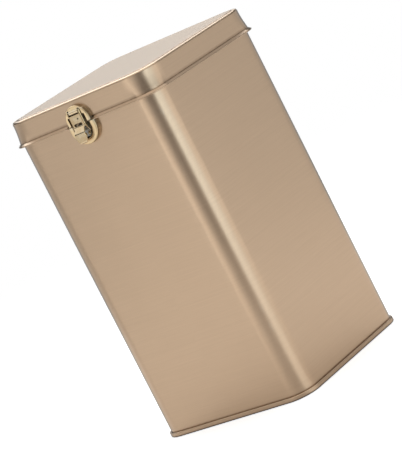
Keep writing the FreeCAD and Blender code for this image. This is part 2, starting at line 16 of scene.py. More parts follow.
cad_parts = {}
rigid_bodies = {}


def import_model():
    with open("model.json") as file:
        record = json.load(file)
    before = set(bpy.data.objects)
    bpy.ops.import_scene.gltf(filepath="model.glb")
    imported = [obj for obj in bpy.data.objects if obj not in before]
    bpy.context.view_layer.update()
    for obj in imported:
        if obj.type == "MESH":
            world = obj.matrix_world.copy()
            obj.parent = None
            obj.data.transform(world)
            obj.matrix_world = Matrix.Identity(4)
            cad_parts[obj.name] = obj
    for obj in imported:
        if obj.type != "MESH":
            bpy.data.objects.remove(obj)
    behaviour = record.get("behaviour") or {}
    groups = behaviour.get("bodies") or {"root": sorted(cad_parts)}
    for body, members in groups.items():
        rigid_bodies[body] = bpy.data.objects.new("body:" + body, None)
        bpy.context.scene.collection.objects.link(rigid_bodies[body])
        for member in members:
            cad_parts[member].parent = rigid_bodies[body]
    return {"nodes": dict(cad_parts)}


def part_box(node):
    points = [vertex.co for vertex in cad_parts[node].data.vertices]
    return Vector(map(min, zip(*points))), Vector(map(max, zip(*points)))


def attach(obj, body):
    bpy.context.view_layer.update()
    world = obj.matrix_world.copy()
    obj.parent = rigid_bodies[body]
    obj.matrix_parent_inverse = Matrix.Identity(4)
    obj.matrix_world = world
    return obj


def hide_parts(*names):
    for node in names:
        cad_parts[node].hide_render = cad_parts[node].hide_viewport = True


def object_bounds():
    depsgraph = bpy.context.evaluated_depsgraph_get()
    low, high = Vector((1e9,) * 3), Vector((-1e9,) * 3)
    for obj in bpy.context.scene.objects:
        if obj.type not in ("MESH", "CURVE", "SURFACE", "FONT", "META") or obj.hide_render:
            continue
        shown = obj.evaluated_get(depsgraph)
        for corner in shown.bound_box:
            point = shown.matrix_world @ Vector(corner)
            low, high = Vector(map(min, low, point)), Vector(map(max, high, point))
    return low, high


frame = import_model()
cad_box = [[float(v) for v in p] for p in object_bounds()]
scene = bpy.context.scene
rng = np.random.default_rng(7)

MM = 0.001
HALF = 57.5                        # from the axis to the wall's outer face
CORNER_R = 13.0
CENTRE = HALF - CORNER_R           # from the axis to a corner's centre
LIMIT = cad_box[1][0] / MM - 0.002  # no sheet goes past the CAD box
MOUTH_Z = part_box("body_wall")[1].z / MM
BODY_T, LID_T, END_T = 0.28, 0.25, 0.25    # sheet thicknesses

CORNER_STEPS = 26
SIDE_STEP = 4.2                    # aimed spacing of stations along a side
PLATE_RINGS = 11
PLATE_START = -10.0                # where the closed middle of lid and end begins
FRONT, BACK = 0, 2                 # side numbers of the clasp and the hinge
# by side number: outward direction, and the direction its stations run
SIDES = (((0, -1), (1, 0)), ((1, 0), (0, 1)), ((0, 1), (-1, 0)), ((-1, 0), (0, -1)))


# ------------------------------------------------------------------ sheet sections
class Section:
    """Centreline of a bent sheet, drawn by straight runs and bends, with normals to its left."""

    def __init__(self, out, up, heading, thickness):
        self.out, self.up = out, up
        self.heading = math.radians(heading)
        self.thickness = thickness
        self.points, self.normals, self.marks = [], [], {}
        self.add(out, up, self.heading)

    def add(self, out, up, heading):
        self.points.append((out, up))
        self.normals.append((-math.sin(heading), math.cos(heading)))

    def line(self, length, steps):
        for k in range(1, steps + 1):
            f = k / steps
            self.add(self.out + length * f * math.cos(self.heading),
                     self.up + length * f * math.sin(self.heading), self.heading)
        self.out, self.up = self.points[-1]

    def arc(self, radius, turn, steps):
        """Bend by turn degrees, positive to the left."""
        hand = 1.0 if turn > 0 else -1.0
        centre_out = self.out - hand * radius * math.sin(self.heading)
        centre_up = self.up + hand * radius * math.cos(self.heading)
        start = math.atan2(self.up - centre_up, self.out - centre_out)
        for k in range(1, steps + 1):
            angle = start + math.radians(turn) * k / steps
            self.add(centre_out + radius * math.cos(angle),
                     centre_up + radius * math.sin(angle),
                     self.heading + math.radians(turn) * k / steps)
        self.out, self.up = self.points[-1]
        self.heading += math.radians(turn)

    def mark(self, name):
        self.marks[name] = len(self.points) - 1

    def surfaces(self):
        """Left and right surface of the sheet."""
        points, normals = np.array(self.points), np.array(self.normals)
        half = normals * self.thickness / 2
        return points + half, points - half


def bend_angle(offset, radius):
    """Degrees of the two opposite bends that shift a sheet sideways by offset."""
    return math.degrees(math.acos(1 - offset / (2 * radius)))


def smooth(low, high, value):
    f = min(1.0, max(0.0, (value - low) / (high - low)))
    return f * f * (3 - 2 * f)


def random_swells(count, shortest, longest):
    """Random waves for slow swells: frequency in x and y, phase, weight."""
    swells = []
    for _ in range(count):
        angle = rng.uniform(0, 2 * math.pi)
        freq = 2 * math.pi / rng.uniform(shortest, longest)
        swells.append((freq * math.cos(angle), freq * math.sin(angle),
                       rng.uniform(0, 2 * math.pi), rng.uniform(0.5, 1.0)))
    return swells


def swell(x, y, height, swells):
    return height * sum(weight * math.sin(freq_x * x + freq_y * y + phase)
                        for freq_x, freq_y, phase, weight in swells)


# ------------------------------------------------------------------ sections carried round
# run is the length along the wall; side is -1 at a corner; along is the place on the side
Station = namedtuple("Station", "x y out_x out_y run side along")


def find_stations(cuts):
    """Stations from the middle of the clasp side towards +X, and the length of the whole run.

    cuts gives extra places along a side, by side number."""
    found, run = [], 0.0
    quarter = math.radians(90)
    legs = [(FRONT, 0.0, CENTRE)]
    legs += [(side, -CENTRE, CENTRE) for side in (1, 2, 3)]
    legs += [(FRONT, -CENTRE, 0.0)]
    for leg, (side, start, stop) in enumerate(legs):
        (out_x, out_y), (run_x, run_y) = SIDES[side]
        marks = sorted({start, *(t for t in cuts.get(side, ()) if start < t < stop)})
        for low, high in zip(marks, marks[1:] + [stop]):
            count = max(1, int(round((high - low) / SIDE_STEP)))
            for k in range(count):
                along = low + (high - low) * k / count
                found.append(Station(out_x * HALF + run_x * along, out_y * HALF + run_y * along,
                                     out_x, out_y, run + (along - start), side, along))
        run += stop - start
        if leg == len(legs) - 1:
            break
        for k in range(CORNER_STEPS):
            angle = math.atan2(out_y, out_x) + quarter * k / CORNER_STEPS
            cos, sin = math.cos(angle), math.sin(angle)
            found.append(Station(CENTRE * (out_x + run_x) + CORNER_R * cos,
                                 CENTRE * (out_y + run_y) + CORNER_R * sin, cos, sin,
                                 run + CORNER_R * quarter * k / CORNER_STEPS, -1, 0.0))
        run += CORNER_R * quarter
    return found, run


class Sheet:
    """A section carried round the rounded square as one closed sheet.

    Surface 0 is the section's left, surface 1 its right. creases lists folds as
    (mark, reach, strength). displace gives each vertex's extra shift outwards."""

    def __init__(self, section, inner_surface, creases, cuts=None, displace=None):
        self.section, self.surfaces = section, section.surfaces()
        self.inner_surface, self.displace = inner_surface, displace
        self.stations, self.whole_run = find_stations(cuts or {})
        self.reach = np.r_[0, np.cumsum(np.hypot(*np.diff(np.array(section.points), axis=0).T))]
        self.depth = np.zeros(len(self.reach))    # how deep in a fold each point sits
        # each fold's depth sets the painted shade in it
        for mark, reach, strength in creases:
            gap = (self.reach - self.reach[section.marks[mark]]) / reach
            self.depth = np.maximum(self.depth, strength * np.exp(-gap ** 2))
        self.verts, self.inside, self.crease = [], [], []
        self.faces, self.uvs, self.ids = [], [], {}

    def store(self, point, surface, crease=0.0):
        is_inner = surface == self.inner_surface
        self.verts.append(point)
        self.inside.append(1.0 if is_inner else 0.0)
        self.crease.append(0.0 if is_inner else crease)
        return len(self.verts) - 1

    def vertex(self, i, j, surface):
        """Index of the vertex at station i and section point j, made at its first use."""
        key = (i % len(self.stations), j, surface)
        if key not in self.ids:
            place = self.stations[key[0]]
            out, up = self.surfaces[surface][j]
            if self.displace:
                out += self.displace(place, out, up, surface, j)
            x = min(LIMIT, max(-LIMIT, place.x + place.out_x * out))
            y = min(LIMIT, max(-LIMIT, place.y + place.out_y * out))
            self.ids[key] = self.store((x, y, up), surface, float(self.depth[j]))
        return self.ids[key]

    def uv(self, i, j, step):
        place = self.stations[i % len(self.stations)]
        if step < self.section.marks.get("flat", -1):    # flat of the blank: brushed along X
            out = float(self.reach[j]) + self.section.points[0][0]
            return ((place.x + place.out_x * out) * MM, (place.y + place.out_y * out) * MM)
        run = place.run if i < len(self.stations) else self.whole_run
        return (run * MM, float(self.reach[j]) * MM)

    def quad(self, corners, step, flip=False):
        """Face through (i, j, surface) corners, in the section's given step."""
        ids = [self.vertex(*corner) for corner in corners]
        uvs = [self.uv(i, j, step) for i, j, _ in corners]
        if flip:
            ids, uvs = ids[:1] + ids[:0:-1], uvs[:1] + uvs[:0:-1]
        self.faces.append(tuple(ids))
        self.uvs.append(uvs)

    def carry_round(self, open_start, notched=None):
        """Both surfaces, their rims, and the ends of the notches.

        Where notched(station) holds, the section stops at its mark "notch"."""
        last = len(self.surfaces[0]) - 1
        notch = self.section.marks.get("notch", last)
        cut = [bool(notched and notched(place)) for place in self.stations]
        for i in range(len(self.stations)):
            stop = notch if cut[i] else last
            for j in range(stop):
                for surface in (0, 1):
                    self.quad([(i, j, surface), (i + 1, j, surface),
                               (i + 1, j + 1, surface), (i, j + 1, surface)], j, surface == 0)
            self.quad([(i, stop, 0), (i, stop, 1), (i + 1, stop, 1), (i + 1, stop, 0)], stop)
            if open_start:
                self.quad([(i, 0, 0), (i + 1, 0, 0), (i + 1, 0, 1), (i, 0, 1)], 0)
            if cut[i - 1] != cut[i]:
                for j in range(notch, last):
                    self.quad([(i, j, 0), (i, j + 1, 0), (i, j + 1, 1), (i, j, 1)], j, cut[i - 1])

    def plate_face(self, ids, surface):
        if surface == 1:
            ids.reverse()
        self.faces.append(tuple(ids))
        self.uvs.append([(self.verts[k][0] * MM, self.verts[k][1] * MM) for k in ids])

    def close_middle(self, plate):
        """Shrinking rings that close the middle; plate(x, y) is their extra height."""
        count = len(self.stations)
        for surface in (0, 1):
            outer = [self.vertex(i, 0, surface) for i in range(count)]
            rim = [self.verts[k] for k in outer]
            for ring in range(1, PLATE_RINGS):
                f = 1 - ring / PLATE_RINGS
                inner = [self.store((x * f, y * f, z + plate(x * f, y * f)), surface)
                         for x, y, z in rim]
                for i in range(count):
                    after = (i + 1) % count
                    self.plate_face([outer[i], outer[after], inner[after], inner[i]], surface)
                outer = inner
            middle = self.store((0.0, 0.0, rim[0][2] + plate(0.0, 0.0)), surface)
            for i in range(count):
                self.plate_face([outer[i], outer[(i + 1) % count], middle], surface)

    def face_outwards(self):
        volume = 0.0
        for face in self.faces:
            first = np.array(self.verts[face[0]])
            for p, q in zip(face[1:-1], face[2:]):
                volume += float(np.dot(first, np.cross(self.verts[p], self.verts[q])))
        if volume < 0:
            self.faces = [face[::-1] for face in self.faces]
            self.uvs = [uvs[::-1] for uvs in self.uvs]

    def build(self, name):
        """The mesh object, with UVs along the brushing and the inside and crease masks."""
        self.face_outwards()
        mesh = bpy.data.meshes.new(name)
        mesh.from_pydata([tuple(c * MM for c in v) for v in self.verts], [], self.faces)
        mesh.update()
        uv_map = mesh.uv_layers.new(name="brush")
        uv_map.data.foreach_set("uv", [c for uvs in self.uvs for uv in uvs for c in uv])
        for mask, values in (("inside", self.inside), ("crease", self.crease)):
            attribute = mesh.attributes.new(mask, "FLOAT", "POINT")
            attribute.data.foreach_set("value", np.asarray(values, np.float32))
        shade_smooth(mesh, sharp_angle=38)
        mesh.validate()
        return add_object(name, mesh)


def shade_smooth(mesh, sharp_angle):
    mesh.polygons.foreach_set("use_smooth", [True] * len(mesh.polygons))
    mesh.set_sharp_from_angle(angle=math.radians(sharp_angle))


def add_object(name, data):
    ob = bpy.data.objects.new(name, data)
    scene.collection.objects.link(ob)
    return ob


# ------------------------------------------------------------------ body wall
HOOK_OUT, HOOK_TOP = 0.78, 1.9     # free edge of the hook at the wall's foot
HOOK_R, HOOK_BEND_Z = 0.46, 0.92
HOOK_END_Z = 2.4                   # end of the finely divided foot of the wall
FLAT_Z, NECK_Z = 8.0, 200.5        # plain part of the wall
NECK_IN, NECK_R = 0.6, 1.2         # shift inwards under the mouth
CURL_R, CURL_TURN = 0.75, 300      # inward curl at the mouth
BULGE, BULGE_SWELL = 0.10, 0.05    # outward bulge of the sides and its unevenness
LOCK_HALF, LOCK_DEPTH = 2.6, 0.56  # lock seam up the back
LOCK_Z = (4.4, 199.8)
GROOVE, GROOVE_DEPTH = (-2.81, -2.59), 0.12    # beside the lock seam


def wall_section():
    path = Section(HOOK_OUT, HOOK_TOP, heading=-90, thickness=BODY_T)
    path.line(HOOK_TOP - HOOK_BEND_Z, 1)
    path.arc(HOOK_R, -180, 14)
    path.line(HOOK_END_Z - HOOK_BEND_Z, 2)
    path.line(0.6, 3)
    path.mark("seam")              # the wall leaves the double seam
    path.line(1.4, 6)              # up to the foot of the lock seam
    path.line(3.6, 3)              # up to FLAT_Z
    path.line(NECK_Z - FLAT_Z, 45)
    angle = bend_angle(NECK_IN, NECK_R)
    path.arc(NECK_R, angle, 6)
    path.arc(NECK_R, -angle, 6)
    path.line((MOUTH_Z - BODY_T / 2 - CURL_R) - path.up, 4)
    path.arc(CURL_R, CURL_TURN, 30)
    return path


def make_wall():
    swells = random_swells(7, shortest=55, longest=130)

    def displace(place, out, up, surface, _):
        shift = 0.0
        if 5.0 < up < 199.0 and abs(out) < 0.5 and place.side >= 0:
            held = smooth(5, 30, up) * (1 - smooth(180, 199, up))
            middle = math.cos(math.pi * place.along / (2 * CENTRE)) ** 2
            shift += held * middle * (BULGE + swell(place.along, up, BULGE_SWELL, swells))
        if place.side == BACK and LOCK_Z[0] < up < LOCK_Z[1]:
            if surface == 0 and abs(place.along) <= LOCK_HALF:
                shift -= LOCK_DEPTH          # folded layers of the lock seam lie inside
            if surface == 1 and GROOVE[0] <= place.along <= GROOVE[1]:
                shift -= GROOVE_DEPTH
        return shift

    cuts = {BACK: [-2.9, -2.8, -LOCK_HALF, -2.55, LOCK_HALF, 2.65]}
    sheet = Sheet(wall_section(), inner_surface=0, creases=[("seam", 0.62, 0.95)],
                  cuts=cuts, displace=displace)
    sheet.carry_round(open_start=True)
    wall = sheet.build("wall_sheet")
    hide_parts("body_wall")
    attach(wall, "body")
    return wall


# ------------------------------------------------------------------ bottom end
END_Z = 3.0                        # middle of the end, before its step and dome
END_STEP, END_STEP_R = 0.6, 0.6
CHUCK_OUT = -(BODY_T + 0.04 + END_T / 2)   # upright part just inside the wall
CHUCK_TOP_R, CHUCK_FOOT_R = 0.8, 0.45
HEEL_OUT, HEEL_R = 1.275, 0.7      # outer layer of the double seam
SEAM_TOP_R, SEAM_TOP_Z = 0.5, 2.3
SEAM_HOOK_Z = 1.25                 # free edge of the end, inside the seam
END_DOME, END_DOME_SPREAD = 0.05, 4500.0   # height, and square of the reach in mm


def end_section():
    path = Section(PLATE_START, END_Z, heading=0, thickness=END_T)
    angle = bend_angle(END_STEP, END_STEP_R)
    path.line(3.2, 2)
    path.arc(END_STEP_R, angle, 8)
    path.arc(END_STEP_R, -angle, 8)
    path.line(CHUCK_OUT - CHUCK_TOP_R - path.out, 2)
    path.mark("flat")
    path.arc(CHUCK_TOP_R, -90, 10)
    path.line(path.up - (END_T / 2 + CHUCK_FOOT_R), 1)
    path.arc(CHUCK_FOOT_R, 90, 10)
    path.line(HEEL_OUT - HEEL_R - path.out, 1)
    path.arc(HEEL_R, 45, 7)
    path.mark("heel")
    path.arc(HEEL_R, 45, 7)
    path.line(SEAM_TOP_Z - path.up, 3)
    path.arc(SEAM_TOP_R, 60, 8)
    path.arc(SEAM_TOP_R, 120, 12)
    path.line(SEAM_TOP_Z - SEAM_HOOK_Z, 1)
    return path


def make_bottom_end():
    swells = random_swells(4, shortest=50, longest=90)

    def plate(x, y):
        dome = END_DOME * (1 - (x * x + y * y) / END_DOME_SPREAD)
        return dome * (1 + swell(x, y, 0.3, swells))

    sheet = Sheet(end_section(), inner_surface=0, creases=[("heel", 0.42, 0.85)])
    sheet.carry_round(open_start=False)
    sheet.close_middle(plate)
    end = sheet.build("bottom_end_sheet")
    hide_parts("bottom_end")
    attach(end, "body")
    return end


# ------------------------------------------------------------------ lid
LID_OUT = 1.0                      # skirt's outer face
LID_RING_Z = 215.4                 # top of the flat ring round the raised panel
PANEL_RISE, PANEL_R = 0.35, 0.5
LID_EDGE_R = 1.3
FLARE_Z, FLARE_R, FLARE_TURN = 202.3, 0.7, 55
HEM_R = 0.28
CORNER_LEAN_Z = 212.5              # the corners open out below this height
NOTCHES = {FRONT: 10.9, BACK: 21.5}    # half widths, for clasp and hinge
LID_SAG, LID_SAG_SPAN = 0.10, 95


def lid_section():
    ring_up = LID_RING_Z - LID_T / 2
    skirt_out = LID_OUT - LID_T / 2
    angle = bend_angle(PANEL_RISE, PANEL_R)
    path = Section(PLATE_START, ring_up + PANEL_RISE, heading=0, thickness=LID_T)
    rise_width = 2 * PANEL_R * math.sin(math.radians(angle))
    path.line(-PLATE_START + LID_OUT - 3.0 - rise_width - 0.4, 4)
    path.arc(PANEL_R, -angle, 7)
    path.arc(PANEL_R, angle / 2, 4)
    path.mark("foot")
    path.arc(PANEL_R, angle / 2, 4)
    path.line(skirt_out - LID_EDGE_R - path.out, 2)
    path.arc(LID_EDGE_R, -45, 8)
    path.mark("flat")
    path.arc(LID_EDGE_R, -45, 8)
    path.line(path.up - FLARE_Z, 8)
    path.mark("notch")
    path.arc(FLARE_R, FLARE_TURN / 2, 5)
    path.mark("fold")
    path.arc(FLARE_R, FLARE_TURN / 2, 5)
    path.line(2.05, 6)             # the flare
    path.mark("edge")
    path.arc(HEM_R, -(90 + FLARE_TURN), 12)
    path.line(1.15, 2)             # the hem, turned inwards
    return path


def lid_notched(place):
    edge = NOTCHES.get(place.side)
    return edge is not None and -edge - 1e-6 <= place.along < edge - 1e-6


def make_lid():
    path = lid_section()
    notch, last = path.marks["notch"], len(path.points) - 1
    swells = random_swells(5, shortest=60, longest=110)

    def displace(place, out, up, _, j):
        """The corners are drawn in a little at the top and open towards the flared hem."""
        if place.side >= 0:
            return 0.0
        weight = 2 * abs(place.out_x * place.out_y)
        weight = weight * (2 - weight)
        if j <= notch:
            down = max(0.0, (CORNER_LEAN_Z - up) / (CORNER_LEAN_Z - FLARE_Z))
            return weight * smooth(-8.0, 0.2, out) * (-0.62 + 1.12 * down ** 1.6)
        return 0.50 * weight * (1 - 0.9 * (j - notch) / (last - notch))

    def plate(x, y):
        sag = -LID_SAG * math.cos(math.pi * x / LID_SAG_SPAN) * math.cos(math.pi * y / LID_SAG_SPAN)
        return sag * (1 + swell(x, y, 0.35, swells))

    sheet = Sheet(path, inner_surface=1,
                  creases=[("foot", 0.48, 0.95), ("fold", 0.42, 0.9), ("edge", 0.28, 0.42)],
                  cuts={side: [-edge, edge] for side, edge in NOTCHES.items()},
                  displace=displace)
    sheet.carry_round(open_start=False, notched=lid_notched)
    sheet.close_middle(plate)
    lid = sheet.build("lid_sheet")
    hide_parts("lid_shell")
    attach(lid, "lid")
    return lid


# ------------------------------------------------------------------ node helper
class Net:
    """Short calls for the node tree of a material or world. Colours are (r, g, b)."""

    def __init__(self, owner, output="OutputMaterial"):
        owner.use_nodes = True
        self.tree = owner.node_tree
        self.tree.nodes.clear()
        self.out = self.node(output)

    def node(self, kind, **props):
        node = self.tree.nodes.new("ShaderNode" + kind)
        for name, value in props.items():
            setattr(node, name, value)
        return node

    def put(self, socket, value):
        if isinstance(value, bpy.types.NodeSocket):
            self.tree.links.new(value, socket)
        else:
            socket.default_value = value

    def fill(self, node, values):
        for i, value in enumerate(values):
            self.put(node.inputs[i], value)
        return node.outputs[0]

    def math(self, op, *values, clamp=False):
        return self.fill(self.node("Math", operation=op, use_clamp=clamp), values)

    def add(self, a, b):
        return self.math("ADD", a, b)

    def mul(self, a, b):
        return self.math("MULTIPLY", a, b)

    def vector(self, op, *values):
        node = self.node("VectorMath", operation=op)
        self.fill(node, values)
        return node.outputs[1 if op in ("LENGTH", "DOT_PRODUCT") else 0]

    def noise(self, place, scale, detail=2.0, rough=0.5, distort=0.0):
        node = self.node("TexNoise")
        for name, value in (("Vector", place), ("Scale", scale), ("Detail", detail),
                            ("Roughness", rough), ("Distortion", distort)):
            self.put(node.inputs[name], value)
        return node.outputs[0]

    def remap(self, value, span, to=(0.0, 1.0)):
        return self.fill(self.node("MapRange"), (value, *span, *to))

    def ease(self, value, span, to=(0.0, 1.0)):
        """As remap, with soft ends."""
        node = self.node("MapRange", interpolation_type="SMOOTHSTEP")
        return self.fill(node, (value, *span, *to))

    def mix(self, amount, a, b):
        node = self.node("Mix", data_type="RGBA")
        self.put(node.inputs[0], amount)
        for i, colour in ((6, a), (7, b)):
            self.put(node.inputs[i], colour + (1.0,) if isinstance(colour, tuple) else colour)
        return node.outputs[2]

    def mix_value(self, amount, a, b):
        return self.fill(self.node("Mix", data_type="FLOAT"), (amount, 0, a, b)[:0]) \
            if False else self._mix_float(amount, a, b)

    def _mix_float(self, amount, a, b):
        node = self.node("Mix", data_type="FLOAT")
        for i, value in ((0, amount), (2, a), (3, b)):
            self.put(node.inputs[i], value)
        return node.outputs[0]

    def mix_shaders(self, amount, a, b):
        return self.fill(self.node("MixShader"), (amount, a, b))

    def combine(self, x, y, z):
        return self.fill(self.node("CombineXYZ"), (x, y, z))

    def separate(self, vector):
        node = self.node("SeparateXYZ")
        self.put(node.inputs[0], vector)
        return node.outputs

    def attribute(self, name):
        return self.node("Attribute", attribute_name=name).outputs["Fac"]

    def principled(self, **inputs):
        """Surface shader; its inputs are named with _ for a space."""
        surface = self.node("BsdfPrincipled")
        for name, value in inputs.items():
            self.put(surface.inputs[name.replace("_", " ")], value)
        self.put(self.out.inputs[0], surface.outputs[0])

    def bump(self, height, distance, strength, normal=None):
        node = self.node("Bump")
        node.inputs["Strength"].default_value = strength
        node.inputs["Distance"].default_value = distance
        self.put(node.inputs["Height"], height)
        if normal is not None:
            self.put(node.inputs["Normal"], normal)
        return node.outputs[0]


# ------------------------------------------------------------------ tin
# painted shade in the folds of the sheets
FOLD_PAINTED_SHADE = (0.21, 0.112, 0.052)
# painted shade where the sheet is seen edge-on
EDGE_PAINTED_SHADE = (0.125, 0.108, 0.100)
WORN_TIN = (0.86, 0.74, 0.60)
PLAIN_TIN = (0.60, 0.55, 0.46), (0.72, 0.67, 0.57)
# brush layers: frequency along and across the brushing, offset, detail, roughness, weight
STREAKS = (
    (22.0, 2600.0, 0.0, 3.0, 0.6, 0.42),
    (70.0, 7200.0, 3.7, 2.0, 0.6, 0.30),
    (9.0, 700.0, 9.1, 3.0, 0.55, 0.28),
)


def brush_streaks(net):
    along, across, _ = net.separate(net.node("UVMap", uv_map="brush").outputs[0])
    layers = []
    for freq_along, freq_across, offset, detail, rough, weight in STREAKS:
        place = net.combine(net.mul(along, freq_along), net.mul(across, freq_across), offset)
        layers.append(net.mul(net.noise(place, 1.0, detail, rough), weight))
    return net.add(layers[0], net.add(layers[1], layers[2]))


def painted_edge_shade(net):
    """Painted grey shade where the sheet is seen edge-on at bends; flat top and flat walls are left
    out.
    """
    geometry = net.node("NewGeometry").outputs
    normal_x, normal_y, normal_z = net.separate(geometry["Normal"])

    def level(direction):
        return net.vector("NORMALIZE", net.vector("MULTIPLY", direction, (1.0, 1.0, 0.0)))

    def below_top():
        return net.ease(normal_z, span=(0.15, 0.45), to=(1.0, 0.0))

    across = net.vector("DOT_PRODUCT", level(geometry["Normal"]), level(geometry["Incoming"]))
    turned = net.math("SUBTRACT", 1.0, net.math("ABSOLUTE", across))
    bend = net.mul(net.math("ABSOLUTE", net.mul(normal_x, normal_y)), 2.0)
    painted_shade = net.mul(net.ease(turned, span=(0.575, 0.858), to=(0.0, 0.85)), below_top())
    painted_shade = net.mul(painted_shade, net.ease(bend, span=(0.12, 0.42)))
    # in reflections the painted shade darkens the sheet all round at a glance; seen directly, only
    # where it faces down
    facing = net.node("LayerWeight").outputs["Facing"]
    glance = net.mul(net.ease(facing, span=(0.58, 0.86), to=(0.0, 0.85)), below_top())
    downward = net.ease(normal_z, span=(-0.30, -0.12), to=(1.0, 0.0))
    painted_shade = net.math("MAXIMUM", painted_shade, net.mul(glance, downward))
    return net.mix_value(net.node("LightPath").outputs["Is Camera Ray"], glance, painted_shade)


def brushed_tin(name, base, dark, light, rough, aniso):
    """Lacquered tinplate, brushed along the sheet's run."""
    material = bpy.data.materials.new(name)
    net = Net(material)
    place = net.node("TexCoord").outputs["Object"]
    inside = net.attribute("inside")
    streak = brush_streaks(net)

    cloud = net.noise(place, scale=22.0, detail=3.0, rough=0.55)
    smudge = net.noise(place, scale=55.0, detail=4.0, rough=0.6, distort=0.6)
    smudge = net.ease(smudge, span=(0.52, 0.74))
    colour = net.mix(net.remap(streak, span=(0.32, 0.68)), dark, light)
    colour = net.mix(net.remap(cloud, span=(0.3, 0.7), to=(0.0, 0.35)), colour, base)
    # worn lacquer shows paler tin on the tightest bends
    edge = net.ease(net.node("NewGeometry").outputs["Pointiness"], span=(0.54, 0.66))
    patchy = net.noise(place, scale=260.0, detail=4.0, rough=0.65)
    wear = net.mul(edge, net.remap(patchy, span=(0.38, 0.62), to=(0.15, 0.7)))
    colour = net.mix(wear, colour, WORN_TIN)
    # painted shade in the folds, a little patchy
    patchy = net.noise(place, scale=420.0, detail=3.0, rough=0.6)
    fold_shade = net.math("MULTIPLY", net.attribute("crease"),
                     net.remap(patchy, span=(0.3, 0.7), to=(0.72, 1.0)), clamp=True)
    colour = net.mix(fold_shade, colour, FOLD_PAINTED_SHADE)
    # painted shade at grazing edges
    painted_shade = painted_edge_shade(net)
    colour = net.mix(painted_shade, colour, EDGE_PAINTED_SHADE)
    mottle = net.noise(place, scale=90.0, detail=5.0, rough=0.62)
    plain = net.mix(net.remap(mottle, span=(0.35, 0.65)), *PLAIN_TIN)

    roughness = net.add(rough - 0.06, net.mul(streak, 0.12))
    roughness = net.add(roughness, net.mul(smudge, 0.025))
    inner_rough = net.noise(place, scale=140.0, detail=3.0, rough=0.6)
    inner_rough = net.remap(inner_rough, span=(0.3, 0.7), to=(0.30, 0.40))
    tangent = net.node("Tangent", direction_type="UV_MAP", uv_map="brush")
    dulled = net.mul(net.math("MAXIMUM", fold_shade, painted_shade), 0.75)
    net.principled(
        Base_Color=net.mix(inside, colour, plain),
        Metallic=1.0,
        Roughness=net.mix_value(inside, roughness, inner_rough),
        Anisotropic=net.mix_value(inside, aniso, 0.25),
        Anisotropic_Rotation=0.25,
        Tangent=tangent.outputs[0],
        Normal=net.bump(streak, distance=0.000016, strength=0.8),
        Coat_Weight=net.mul(net.mix_value(inside, 1.0, 0.25),
                            net.math("SUBTRACT", 1.0, dulled)),
        Coat_Roughness=0.24,
        Coat_IOR=1.5)
    return material


# ------------------------------------------------------------------ plated hardware
# painted shade in hollows: darkens the main colour there
HOLLOW_SHADE_TINT = (0.55, 0.47, 0.36)      # darkens the main colour in hollows
# painted shade, greyish brown, in partly hidden places on the plates
RECESS_PAINTED_SHADE = (0.30, 0.235, 0.175)
# painted shade colours for deep recesses, below and above 205 mm
DEEP_SHADE_LOW, DEEP_SHADE_HIGH = (0.030, 0.022, 0.014), (0.150, 0.078, 0.042)
# painted shade next to a plate's front face, and a painted reflection of the tin further back
SIDE_PAINTED_SHADE, SIDE_PAINTED_REFLECTION = (0.030, 0.022, 0.011), (0.40, 0.285, 0.180)
PLATE_BRASS = (0.97, 0.755, 0.460), (0.90, 0.685, 0.400), (0.95, 0.84, 0.63)
# material, (main, second, worn) colours, roughness, parts, other settings
HARDWARE = (
    ("brass_polished_lid_plate", PLATE_BRASS, 0.33, ["clasp_lid_plate"],
     dict(weaker_shade_minus_x=True, shade_sides=True)),
    ("brass_polished_catch_plate", PLATE_BRASS, 0.33, ["clasp_catch_plate"],
     dict(weaker_shade_minus_x=True, shade_sides=True)),
    ("brass_polished_tab", ((0.755, 0.550, 0.312), (0.675, 0.487, 0.268), (0.90, 0.76, 0.53)),
     0.17, ["clasp_hasp"], dict(weaker_shade_minus_x=True)),
    ("brass_satin_hinge", ((0.80, 0.66, 0.43), (0.72, 0.58, 0.36), (0.88, 0.78, 0.58)),
     0.28, ["hinge_body_leaf", "hinge_lid_leaf"], dict(grain=0.5)),
    ("brass_rivet", ((0.86, 0.73, 0.47), (0.78, 0.64, 0.39), (0.92, 0.82, 0.62)),
     0.22, ["hinge_body_rivets", "hinge_lid_rivets", "clasp_catch_rivets",
            "clasp_lid_rivets", "clasp_pin"], {}),
    ("steel_pin_drawn", ((0.70, 0.68, 0.64), (0.62, 0.60, 0.55), (0.82, 0.80, 0.76)),
     0.22, ["hinge_pin"], dict(grain=0.8)),
    ("steel_spring_strip", ((0.40, 0.40, 0.38), (0.30, 0.30, 0.28), (0.62, 0.60, 0.55)),
     0.30, ["clasp_catch_hook"], dict(grain=0.6)),
)


